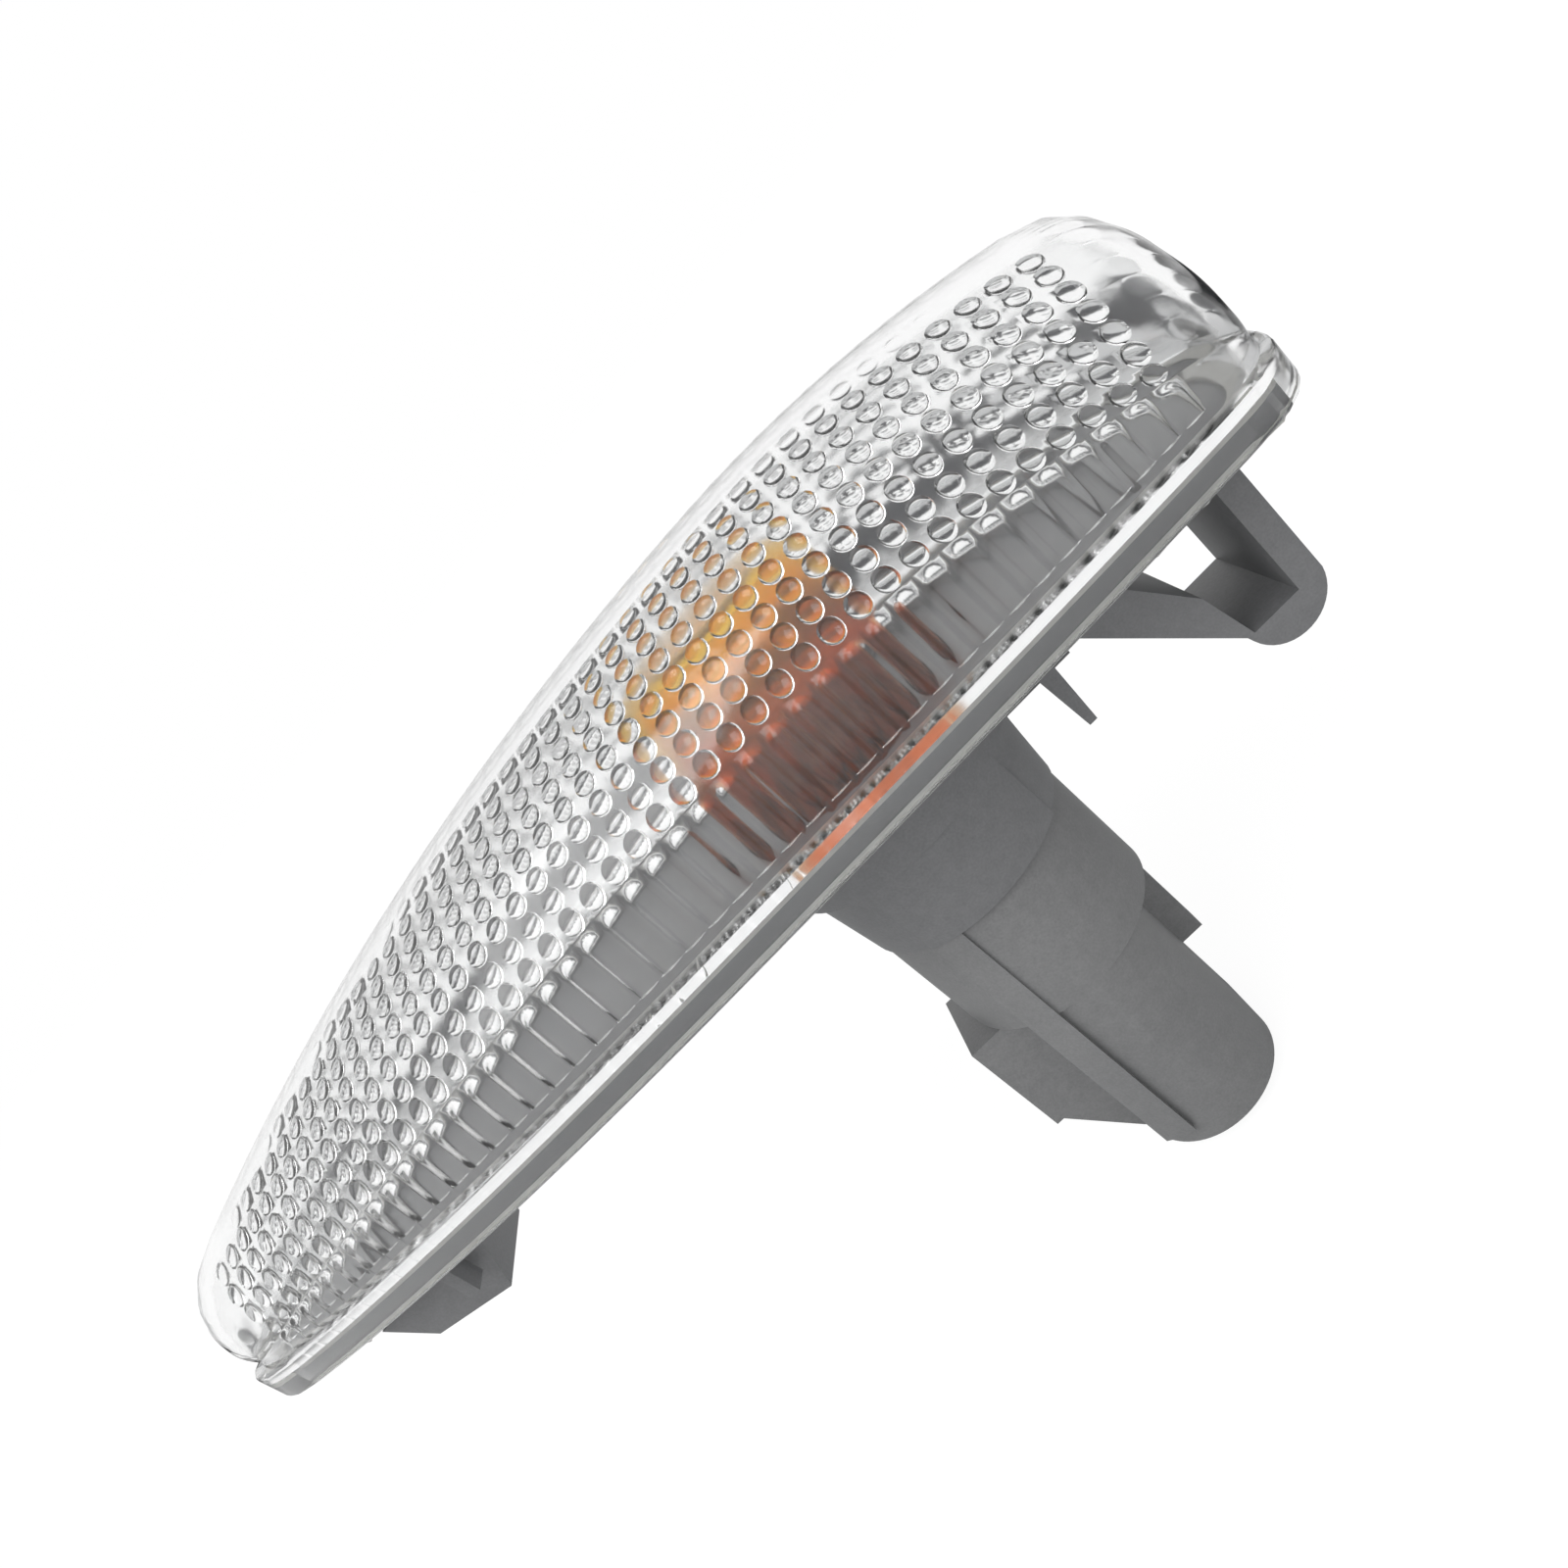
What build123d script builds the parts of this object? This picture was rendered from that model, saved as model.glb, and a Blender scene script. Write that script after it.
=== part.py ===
"""Side repeater lamp: a clear fluted lens on a grey housing that snaps into a body panel.

Millimetres. +Z points out of the body panel, +X runs along the lamp towards its blunt nose end.
Heights and depths here count from the flange's outer face. The finished parts are moved up by the
flange's height, so that their origin is the middle of the seat on the panel.
"""
import os
from math import atan2, cos, radians, sin, sqrt, tan

from build123d import *

# Plan of the flange: two side arcs that meet at the middle, with bowed ends
tail_length = 64.5
nose_length = 60.0
half_width = 20.5
tail_half_width = 6.0
nose_half_width = 11.9
end_bow = 2.0
corner_share = 0.6

# The flange follows the body panel, which curves along the lamp
seat_radius = 520.0
flange_height = 3.4
ledge = 1.8

# Lens: a crowned face over fluted side walls
lens_wall = 2.2
face_chords = 12
flute_draft = 12.0
crown_x = 22.0
crown_height = 18.2
crown_tail_radius = 286.0
crown_nose_radius = 116.0
edge_x = 14.0
edge_height = 7.8
edge_tail_radius = 285.0
edge_nose_radius = 120.0
end_lean = 0.6
tail_round = 8.0
nose_round = 6.2
tail_shoulder = 6.6
nose_shoulder = 10.4
flute_pitch = 2.5
flute_count = 43
flute_radius = 1.45
flute_depth = 0.5
flute_sides = 6

# Joint between lens and housing: a rebate under the flange, filled with sealant
skirt_width = 1.5
rebate_roof = 1.4
sealant_height = 0.4
rim_clearance = 0.1

# Housing bowl: a shallow tray along the lamp, with a round well for the amber cap
bowl_inset = 4.6
bowl_wall = 1.8
bowl_floor = 2.0
tray_depth = 5.4
well_depth = 10.0
well_radius = 12.6
bowl_tail = 46.0
bowl_nose = 47.0
bowl_corner = 5.0

# Bulb port: a tapered sleeve under the bowl, with a bayonet lip at its top
tower_x = 15.7
sleeve_end = 18.5
sleeve_radius = 10.8
sleeve_root_radius = 11.8
port_radius = 8.7
lip_radius = 7.4
pad_height = 0.35
pad_left = 6.3
pad_right = 8.4
lug_count = 3
lug_angle = 40.0
lug_notch_spare = 4.0
lug_turn = 60.0
lug_height = 1.6
collar_wall = 0.6
collar_height = 2.5

# Spring clip at the nose end
clip_width = 13.6
clip_root_x = 31.5
clip_root_length = 5.8
clip_elbow = 14.6
clip_floor = 20.0
clip_depth = 23.2
clip_thickness = 2.4
clip_face_x = 52.0
clip_toe_x = 44.4
panel_gap = 1.9

# Fixed hook at the tail end, and small locating ribs
hook_width = 10.0
hook_toe_x = 51.5
hook_toe_top = 9.2
hook_heel_x = 36.2
hook_depth = 15.2
hook_flat_start = 48.7
hook_flat_end = 40.6
rib_thickness = 1.8
rib_depth = 12.6
pin_x = 31.6
pin_depth = 16.8
pin_size = 2.4
pin_y = 4.0
guide_x = 40.6
guide_depth = 11.6
guide_y = 7.0
guide_size = 1.2

# Bulb holder: plug with seal, bayonet lugs, shoulder barrel and connector shroud
fit_clearance = 0.2
lug_clearance = 0.15
barrel_radius = 10.5
barrel_end = 31.0
neck_top = 5.6
plug_radius = 8.4
seal_groove_radius = 7.0
seal_height = 2.4
snug_clearance = 0.03
shroud_radius = 7.3
shroud_wall = 1.6
shroud_end = 53.0
shroud_edge = 0.8
socket_roof = 34.0
fin_width = 2.8
fin_x = 4.9
fin_stand = 0.35
fin_end = 50.0
latch_width = 9.0
latch_reach = 12.6
latch_top = 32.0
latch_step = 44.0
latch_step_depth = 0.8
latch_end = 51.0
tab_width = 2.4
tab_reach = 9.8
tab_top = 33.0
tab_end = 44.5
tab_y = 4.0

# Wedge base bulb, its pocket in the holder, and the two contacts
bulb_radius = 5.0
bulb_top = 9.5
glass_wall = 0.7
bulb_tip_radius = 2.6
bulb_shoulder = 5.2
wedge_width = 9.4
wedge_thickness = 2.4
wedge_end = 17.0
wedge_top = 8.4
lead_radius = 0.3
lead_spread = 3.0
lead_gap = 0.05
lead_sides = 8
filament_radius = 0.35
filament_height = 3.0
pocket_width = 10.4
pocket_depth = 18.4
pocket_span = 6.4
contact_thickness = 0.6
contact_width = 2.3
contact_spread = 3.4
blade_end = 50.0
contact_top = 8.8

# Amber cap over the bulb
cap_radius = 10.5
cap_wall = 1.1
cap_top = 13.0
cap_bevel = 2.5


def circle_drop(distance, radius):
    """How far an arc of this radius falls away at a distance from its tangent point."""
    return radius - sqrt(radius**2 - distance**2)


def two_arc_curve(x, peak_x, peak, tail_radius, nose_radius):
    """A curve that peaks at peak_x and falls on its own arc to either side."""
    radius = tail_radius if x < peak_x else nose_radius
    return peak - circle_drop(x - peak_x, radius)


def side_radius(length, end_half_width):
    """The arc that takes the flange from its full half width to that of one end."""
    narrowing = half_width - end_half_width
    return ((length - end_bow) ** 2 + narrowing**2) / (2 * narrowing)


def flange_half_width(x, inset=0):
    tail_radius = side_radius(tail_length, tail_half_width)
    nose_radius = side_radius(nose_length, nose_half_width)
    return two_arc_curve(x, 0, half_width - inset, tail_radius - inset, nose_radius - inset)


def seat_height(x):
    return -circle_drop(x, seat_radius)


def ridge_height_at(x):
    return two_arc_curve(x, crown_x, crown_height, crown_tail_radius, crown_nose_radius)


def edge_height_at(x):
    return two_arc_curve(x, edge_x, edge_height, edge_tail_radius, edge_nose_radius)


def plan(inset):
    """The flange's outline, moved inwards."""
    tail_tip = inset - tail_length
    nose_tip = nose_length - inset
    tail_x = tail_tip + end_bow
    nose_x = nose_tip - end_bow
    edges = []
    for side in (-1, 1):
        xs = (tail_x, tail_x / 2, 0, nose_x / 2, nose_x)
        points = [(x, side * flange_half_width(x, inset)) for x in xs]
        edges.append(ThreePointArc(*points[:3]))
        edges.append(ThreePointArc(*points[2:]))
    for tip, x in ((tail_tip, tail_x), (nose_tip, nose_x)):
        half = flange_half_width(x, inset)
        edges.append(ThreePointArc((x, -half), (tip, 0), (x, half)))
    outline = make_face(edges)
    for x in (tail_x, nose_x):
        corners = [corner for corner in outline.vertices() if abs(corner.X - x) < end_bow / 2]
        outline = fillet(corners, corner_share * flange_half_width(x, inset))
    return outline


def prism(outline, low, high):
    return extrude(Pos(0, 0, low) * outline, high - low)


def seat_band(top, bottom):
    """A slab that follows the panel's curve, between two heights above the seat."""
    reach = tail_length + 5
    wires = []
    for level in (top, bottom):
        height = level + seat_height(reach)
        wires.append(((-reach, height), (0, level), (reach, height)))
    upper, lower = wires
    edges = [
        ThreePointArc(*upper),
        Line(upper[2], lower[2]),
        ThreePointArc(*lower),
        Line(lower[0], upper[0]),
    ]
    return extrude(Plane.XZ * make_face(edges), half_width + 5, both=True)


def dome_section(x, wall):
    """The lens's cross-section at x: drafted walls under a face of chords of one arc."""
    lean = tan(radians(flute_draft))
    edge = edge_height_at(x)
    half = flange_half_width(x) - ledge - (edge - seat_height(x)) * lean - wall
    low = -well_depth - flange_height
    foot = half + (edge - low) * lean
    edge -= wall / 2
    ridge = ridge_height_at(x) - wall
    rise = ridge - edge
    radius = (half**2 + rise**2) / (2 * rise)
    spread = 2 * atan2(rise, half)
    angles = [spread * (2 * step / face_chords - 1) for step in range(face_chords + 1)]
    face = [(radius * sin(angle), ridge - radius * (1 - cos(angle))) for angle in angles]
    return Plane.YZ.offset(x) * make_face(Polyline((-foot, low), *face, (foot, low), close=True))


def dome(wall):
    """The lens's dome, moved inwards by the wall: a loft with rounded ends."""
    stations = (-64, -52, -38, -20, 0, 18, 33, 47, 61)
    body = loft([dome_section(x, wall) for x in stations], ruled=True)
    tail_foot = ledge + wall - end_lean - tail_length
    nose_foot = nose_length + end_lean - ledge - wall
    tail_top = ridge_height_at(tail_foot + tail_round) - wall
    nose_top = ridge_height_at(nose_foot - nose_round) - wall
    low = -well_depth
    high = crown_height + flange_height
    bend = sqrt(0.5)
    edges = [
        Line((tail_foot, low), (tail_foot, seat_height(tail_foot))),
        ThreePointArc(
            (tail_foot, seat_height(tail_foot)),
            (tail_foot + tail_round * (1 - bend), tail_shoulder - wall * bend),
            (tail_foot + tail_round, tail_top),
        ),
        Line((tail_foot + tail_round, tail_top), (tail_foot + tail_round, high)),
        Line((tail_foot + tail_round, high), (nose_foot - nose_round, high)),
        Line((nose_foot - nose_round, high), (nose_foot - nose_round, nose_top)),
        ThreePointArc(
            (nose_foot - nose_round, nose_top),
            (nose_foot - nose_round * (1 - bend), nose_shoulder - wall * bend),
            (nose_foot, seat_height(nose_foot)),
        ),
        Line((nose_foot, seat_height(nose_foot)), (nose_foot, low)),
        Line((nose_foot, low), (tail_foot, low)),
    ]
    side = extrude(Plane.XZ * make_face(edges), half_width, both=True)
    return body & side & prism(plan(ledge + wall - end_lean), low, high)


def flutes():
    """Upright scallops along the inside of both lens walls, one at each pitch."""
    lean = tan(radians(flute_draft))
    bars = []
    for number in range(flute_count):
        x = (number - (flute_count - 1) / 2) * flute_pitch
        top = edge_height_at(x) - lens_wall / 2
        bottom = seat_height(x)
        height = top - bottom
        foot = flange_half_width(x) - ledge - lens_wall
        axis_y = foot - (flute_radius - flute_depth) - height / 2 * lean
        for side in (-1, 1):
            bar = extrude(RegularPolygon(flute_radius, flute_sides, rotation=90), height / 2, both=True)
            tilt = Rot(side * flute_draft, 0, 0)
            bars.append(Pos(x, side * axis_y, bottom + height / 2) * tilt * bar)
    return bars


def make_lens():
    flange = prism(plan(0), -well_depth, 1) & seat_band(0, -flange_height)
    crown = dome(0) & seat_band(crown_height + flange_height, -rebate_roof / 2)
    rebate = prism(plan(skirt_width), -well_depth, 1) & seat_band(-rebate_roof, -well_depth)
    return (flange + crown) - rebate - dome(lens_wall) - flutes()


def ring(outer, inner, low, high):
    tube = Pos(0, 0, low) * extrude(Circle(outer) - Circle(inner), high - low)
    return Pos(tower_x, 0, 0) * tube


def disc(radius, low, high):
    return Pos(tower_x, 0, low) * extrude(Circle(radius), high - low)


def sector(radius, angle):
    """A slice of a circle, centred on +X."""
    half = radians(angle) / 2
    near = (radius * cos(half), -radius * sin(half))
    far = (radius * cos(half), radius * sin(half))
    return make_face([Line((0, 0), near), ThreePointArc(near, (radius, 0), far), Line(far, (0, 0))])


def lugs(radius, angle, turn, low, high):
    """Equal slices about the tower's axis, turned by an angle."""
    slice_face = sector(radius, angle)
    slices = [Rot(0, 0, turn + 360 / lug_count * number) * slice_face for number in range(lug_count)]
    return [Pos(tower_x, 0, low) * extrude(one, high - low) for one in slices]


def make_sealant():
    """The bead in the lens's rebate, on top of the housing's rim."""
    bead = seat_band(-rebate_roof, -rebate_roof - sealant_height)
    bead &= prism(plan(skirt_width + rim_clearance), -well_depth, 1)
    return bead - prism(plan(bowl_inset), -well_depth, 1)


def bowl(inset, low, high):
    """The bowl's outline is the flange's, cut short at both ends for the hook and the clip."""
    length = bowl_tail + bowl_nose - 2 * inset
    window = Pos((bowl_nose - bowl_tail) / 2, 0) * RectangleRounded(
        length, 2 * half_width, bowl_corner
    )
    return prism(plan(bowl_inset + inset) & window, low, high)


def tray_middle(x):
    """Half way through the tray's floor, where what hangs below it takes root."""
    return seat_height(x) - tray_depth + bowl_floor / 2


def make_clip():
    """A leaf that runs down from the bowl to a rounded nose, with a free upright."""
    upright_x = clip_face_x - clip_thickness
    upright_top = seat_height(clip_face_x) - flange_height - panel_gap
    root_top = tray_middle(clip_root_x)
    nose_x = (clip_toe_x + clip_face_x) / 2
    edges = [
        Line((clip_root_x, root_top), (clip_toe_x, -clip_floor)),
        ThreePointArc((clip_toe_x, -clip_floor), (nose_x, -clip_depth), (clip_face_x, -clip_floor)),
        Line((clip_face_x, -clip_floor), (clip_face_x, upright_top)),
        Line((clip_face_x, upright_top), (upright_x, upright_top)),
        Line((upright_x, upright_top), (upright_x, -clip_floor)),
        Line((upright_x, -clip_floor), (clip_toe_x + clip_thickness / 4, -clip_floor)),
        Line((clip_toe_x + clip_thickness / 4, -clip_floor), (clip_toe_x - clip_thickness / 4, -clip_elbow)),
        Line((clip_toe_x - clip_thickness / 4, -clip_elbow), (clip_root_x + clip_root_length, root_top)),
        Line((clip_root_x + clip_root_length, root_top), (clip_root_x, root_top)),
    ]
    return extrude(Plane.XZ * make_face(edges), clip_width / 2, both=True)


def make_hook():
    """A fixed toe that reaches past the bowl's tail, under the panel's edge."""
    root_top = tray_middle(hook_heel_x)
    toe_shank = bowl_tail - bowl_wall
    points = [
        (-hook_toe_x, -hook_toe_top),
        (-hook_flat_start, -hook_depth + flange_height / 2),
        (-hook_flat_end, -hook_depth),
        (-hook_heel_x, root_top),
        (-toe_shank, root_top),
        (-toe_shank, -hook_toe_top),
    ]
    return extrude(Plane.XZ * make_face(Polyline(*points, close=True)), hook_width / 2, both=True)


def make_housing():
    rim_top = -rebate_roof - sealant_height
    rim_middle = (rim_top - flange_height) / 2
    floor_top = -well_depth + bowl_floor
    body = prism(plan(skirt_width + rim_clearance), -well_depth, 1) & seat_band(rim_top, -flange_height)
    body += bowl(0, -well_depth, 1) & seat_band(rim_middle, -tray_depth)
    body += disc(well_radius, -well_depth, tray_middle(tower_x))
    sleeve_height = sleeve_end - well_depth + bowl_floor / 2
    sleeve = Cone(sleeve_radius, sleeve_root_radius, sleeve_height)
    pad = Cone(sleeve_radius + pad_height, sleeve_root_radius + pad_height, sleeve_height)
    pad_box = Pos((pad_right - pad_left) / 2, -sleeve_root_radius) * Box(
        pad_left + pad_right, 2 * sleeve_root_radius, sleeve_height
    )
    sleeve += pad & pad_box
    body += Pos(tower_x, 0, -sleeve_end + sleeve_height / 2) * sleeve
    body += make_clip()
    body += make_hook()
    brace_start = tower_x + sleeve_radius - 1
    brace_length = clip_root_x + clip_root_length / 2 - brace_start
    brace_height = rib_depth + tray_middle(clip_root_x)
    body += Pos(brace_start + brace_length / 2, 0, -rib_depth + brace_height / 2) * Box(
        brace_length, rib_thickness, brace_height
    )
    pin_height = pin_depth + tray_middle(pin_x)
    pin = Pos(pin_x, -pin_y, tray_middle(pin_x)) * Rectangle(pin_size, pin_size)
    body += extrude(pin, -pin_height, taper=4)
    guide_height = guide_depth + tray_middle(guide_x)
    for side in (-1, 1):
        body += Pos(-guide_x, side * guide_y, -guide_depth + guide_height / 2) * Box(
            guide_size, 2 * guide_size, guide_height
        )
    body -= bowl(bowl_wall, -well_depth, 1) & seat_band(1, bowl_floor - tray_depth)
    body -= disc(well_radius - bowl_wall, floor_top, 1)
    collar_top = floor_top + collar_height
    body += ring(port_radius + collar_wall, port_radius, floor_top, collar_top)
    body -= disc(port_radius, -sleeve_end, -well_depth)
    body -= disc(lip_radius, -well_depth, floor_top)
    for notch in lugs(port_radius, lug_angle + lug_notch_spare, 0, -well_depth, floor_top):
        body -= notch
    return body


def turned(points):
    """A solid turned about the tower's axis from a half profile of (radius, height) points."""
    return Pos(tower_x, 0, 0) * revolve(Plane.XZ * make_face(Polyline(*points, close=True)), Axis.Z)


def make_cap():
    """A thin amber cup, upside down on the bowl's floor round the bayonet collar."""
    foot = -well_depth + bowl_floor
    outside = [
        (0, foot),
        (cap_radius, foot),
        (cap_radius, cap_top - cap_bevel),
        (cap_radius - cap_bevel, cap_top),
        (0, cap_top),
    ]
    return turned(outside) - disc(cap_radius - cap_wall, foot, cap_top - cap_bevel + cap_wall / 2)


def stadium(inset):
    """The shroud's outline: long across the lamp, flush with the barrel at both ends."""
    length = 2 * (barrel_radius - inset)
    return Rot(0, 0, 90) * SlotOverall(length, 2 * (shroud_radius - inset))


def tower(shape):
    return Pos(tower_x, 0, 0) * shape


def contact_parts(clearance):
    """One contact: a straight blade, and a leaf that steps in to press on the bulb's wedge."""
    blade_thickness = contact_thickness + 2 * clearance
    blade_width = contact_width + 2 * clearance
    leaf_x = wedge_thickness / 2 + 2 * lead_radius + 2 * lead_gap + contact_thickness / 2
    blade_top = -pocket_depth
    blade_height = blade_end + blade_top + 2 * clearance
    blade = Pos(0, 0, (blade_top - blade_end) / 2) * Box(blade_width, blade_thickness, blade_height)
    return blade, leaf_x


def make_contact(side):
    blade, leaf_x = contact_parts(0)
    leaf_height = pocket_depth - contact_top
    leaf = Pos(side * leaf_x, 0, -contact_top - leaf_height / 2) * Box(
        contact_thickness, contact_width, leaf_height
    )
    foot_length = leaf_x + contact_width / 2 + contact_thickness / 2
    foot_x = side * (leaf_x + contact_thickness / 2 - foot_length / 2)
    foot = Pos(foot_x, 0, -pocket_depth + contact_thickness / 2) * Box(
        foot_length, contact_width, contact_thickness
    )
    return tower(Pos(0, side * contact_spread, 0) * (blade + leaf + foot))


def make_holder():
    lip_top = -well_depth + bowl_floor
    body = disc(barrel_radius, -barrel_end, -sleeve_end)
    body += disc(plug_radius, -sleeve_end, -well_depth - fit_clearance)
    body += disc(lip_radius - fit_clearance, -sleeve_end, -neck_top)
    lug_low = lip_top + lug_clearance
    for lug in lugs(port_radius - fit_clearance, lug_angle, lug_turn, lug_low, lug_low + lug_height):
        body += lug
    body -= ring(plug_radius, seal_groove_radius, -sleeve_end, -sleeve_end + seal_height)
    shroud = tower(prism(stadium(0), -shroud_end, -barrel_end))
    end_face = shroud.faces().sort_by(Axis.Z)[0]
    body += chamfer(end_face.edges(), shroud_edge)
    fin_height = fin_end - sleeve_end
    fin = Pos(-fin_x, -barrel_radius / 2, -sleeve_end - fin_height / 2) * Box(
        fin_width, barrel_radius, fin_height
    )
    body += tower(fin & Pos(0, 0, -shroud_end) * Cylinder(barrel_radius + fin_stand, 2 * shroud_end))
    latch = [
        (0, -latch_top),
        (-latch_reach, -latch_top),
        (-latch_reach, -latch_step),
        (-latch_reach + latch_step_depth, -latch_step),
        (-shroud_radius, -latch_end),
        (0, -latch_end),
    ]
    body += tower(extrude(Plane.XZ * make_face(Polyline(*latch, close=True)), latch_width / 2, both=True))
    tab_height = tab_end - tab_top
    tab = Pos(tab_reach / 2, tab_y, -tab_top - tab_height / 2) * Box(tab_reach, tab_width, tab_height)
    body += tower(tab)
    body -= tower(prism(stadium(shroud_wall), -shroud_end, -socket_roof))
    pocket_height = pocket_depth - neck_top
    body -= tower(Pos(0, 0, -neck_top - pocket_height / 2) * Box(pocket_span, pocket_width, pocket_height))
    blade, _ = contact_parts(snug_clearance)
    for side in (-1, 1):
        body -= tower(Pos(0, side * contact_spread, 0) * blade)
    return body


def make_holder_seal():
    low = -sleeve_end + snug_clearance
    high = -sleeve_end + seal_height - snug_clearance
    return ring(port_radius - snug_clearance, seal_groove_radius + snug_clearance, low, high)


def envelope():
    """The bulb's round glass: a hollow with a straight wall, under a solid tapered tip."""
    tip_start = bulb_top - bulb_radius
    outside = [
        (0, -bulb_shoulder),
        (bulb_radius, -bulb_shoulder),
        (bulb_radius, tip_start),
        (bulb_tip_radius, bulb_top),
        (0, bulb_top),
    ]
    return turned(outside) - disc(bulb_radius - glass_wall, -bulb_shoulder + glass_wall, tip_start)


def make_lead(side):
    """A lead wire: from the filament down through the pinch, and up along the wedge's flat."""
    y = side * lead_spread
    flat_x = side * (wedge_thickness / 2 + lead_radius + lead_gap)
    bottom = -wedge_end - lead_radius - lead_gap
    path = Polyline(
        (0, y, filament_height),
        (0, y, bottom),
        (flat_x, y, bottom),
        (flat_x, y, -wedge_top - contact_thickness),
    )
    section = Plane((0, y, filament_height), z_dir=(0, 0, -1)) * RegularPolygon(lead_radius, lead_sides)
    return tower(sweep(section, path, transition=Transition.RIGHT))


def make_filament():
    span = lead_spread - lead_radius
    coil = Pos(0, 0, filament_height - filament_radius) * Rot(90, 0, 0) * Cylinder(filament_radius, 2 * span)
    return tower(coil)


def make_bulb_glass(leads):
    wedge_height = wedge_end - bulb_shoulder
    wedge = Pos(0, 0, -wedge_end + wedge_height / 2) * Box(wedge_thickness, wedge_width, wedge_height)
    glass = envelope() + tower(wedge)
    for lead in leads:
        glass -= lead
    return glass


leads = {"lead_wire_left": make_lead(-1), "lead_wire_right": make_lead(1)}
parts = {
    "lens": make_lens(),
    "lens_sealant": make_sealant(),
    "housing": make_housing(),
    "amber_cap": make_cap(),
    "bulb_glass": make_bulb_glass(leads.values()),
    "bulb_filament": make_filament(),
    "bulb_holder": make_holder(),
    "holder_seal": make_holder_seal(),
    "contact_left": make_contact(-1),
    "contact_right": make_contact(1),
    **leads,
}

os.makedirs("parts", exist_ok=True)
for name, shape in parts.items():
    export_step(Pos(0, 0, flange_height) * shape, f"parts/{name}.step")
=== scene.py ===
"""Side repeater lamp: the looks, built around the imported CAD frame.

Metres, in the CAD's own frame: +Z points out of the body panel, +X towards the lamp's blunt nose
end, and the origin is the middle of the seat on the panel. Sizes are written in millimetres.
"""
import math

import bmesh
import bpy
from mathutils import Matrix, Vector, noise


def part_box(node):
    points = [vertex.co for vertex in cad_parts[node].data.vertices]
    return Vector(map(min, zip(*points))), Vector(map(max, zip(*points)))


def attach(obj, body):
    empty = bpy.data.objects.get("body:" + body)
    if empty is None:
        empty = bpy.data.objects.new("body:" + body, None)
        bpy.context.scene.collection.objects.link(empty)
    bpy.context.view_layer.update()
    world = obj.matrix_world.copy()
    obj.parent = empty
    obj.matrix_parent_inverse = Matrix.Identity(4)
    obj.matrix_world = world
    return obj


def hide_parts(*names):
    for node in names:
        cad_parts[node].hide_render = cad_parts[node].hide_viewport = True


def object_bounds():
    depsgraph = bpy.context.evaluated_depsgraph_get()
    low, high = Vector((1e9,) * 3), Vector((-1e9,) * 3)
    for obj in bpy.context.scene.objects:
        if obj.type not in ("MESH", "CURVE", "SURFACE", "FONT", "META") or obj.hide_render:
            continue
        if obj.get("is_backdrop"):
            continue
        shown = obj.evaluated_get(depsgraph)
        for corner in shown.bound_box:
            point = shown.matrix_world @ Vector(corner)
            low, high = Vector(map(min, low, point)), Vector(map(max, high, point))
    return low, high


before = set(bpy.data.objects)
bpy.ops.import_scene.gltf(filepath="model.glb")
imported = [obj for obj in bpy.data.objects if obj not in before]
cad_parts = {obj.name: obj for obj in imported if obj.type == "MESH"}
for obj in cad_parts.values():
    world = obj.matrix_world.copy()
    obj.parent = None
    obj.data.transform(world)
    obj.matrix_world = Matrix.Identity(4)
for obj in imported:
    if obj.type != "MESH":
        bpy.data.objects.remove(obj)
cad_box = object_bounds()

# Housing: one injection-moulded shell of grey plastic, a shallow bowl with a spring clip, a fixed
# hook and the bulb port's sleeve below it. It keeps the CAD shape and adds the mould's roundings.
mm = 0.001


class Wire:
    """A socket of a node tree: arithmetic on it adds Math nodes, and node() adds any other node."""

    def __init__(self, tree, socket=None):
        self.tree = tree
        self.socket = socket

    def node(self, kind, settings=None, values=None, out=0):
        """Adds a node. Its settings come first, then each socket named gets its value or link."""
        made = self.tree.nodes.new(kind)
        for name, setting in (settings or {}).items():
            setattr(made, name, setting)
        for name, value in (values or {}).items():
            for one in value if isinstance(value, list) else [value]:
                if isinstance(one, Wire):
                    self.tree.links.new(one.socket, made.inputs[name])
                else:
                    made.inputs[name].default_value = one
        if isinstance(out, tuple):
            return [Wire(self.tree, made.outputs[one]) for one in out]
        return Wire(self.tree, made.outputs[out]) if made.outputs else made

    def math(self, operation, *values):
        values = dict(enumerate((self, *values)))
        return self.node("ShaderNodeMath", {"operation": operation}, values)

    def __add__(self, other):
        return self.math("ADD", other)

    def __radd__(self, other):
        return self.math("ADD", other)

    def __sub__(self, other):
        return self.math("SUBTRACT", other)

    def __rsub__(self, other):
        return (self * -1).math("ADD", other)

    def __mul__(self, other):
        return self.math("MULTIPLY", other)

    def __rmul__(self, other):
        return self.math("MULTIPLY", other)

    def __truediv__(self, other):
        return self.math("DIVIDE", other)

    def __pow__(self, power):
        return self.math("POWER", power)

    def clamp(self, low=0.0, high=1.0):
        return self.math("MAXIMUM", low).math("MINIMUM", high)

    def mix(self, first, second):
        """A colour that goes from the first to the second as this value goes from 0 to 1."""
        # The colour mode's factor and two colours are inputs 0, 6 and 7, and its result output 2
        colours = {0: self, 6: first, 7: second}
        return self.node("ShaderNodeMix", {"data_type": "RGBA"}, colours, 2)

    def split(self):
        """The three parts of a vector."""
        return self.node("ShaderNodeSeparateXYZ", {}, {"Vector": self}, ("X", "Y", "Z"))


def finish(name, **constants):
    """A material with one Principled shader, and the pen that adds nodes to it."""
    material = bpy.data.materials.new(name)
    material.use_nodes = True
    shader = material.node_tree.nodes["Principled BSDF"]
    for socket, value in constants.items():
        shader.inputs[socket.replace("_", " ")].default_value = value
    return material, Wire(material.node_tree), shader


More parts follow.
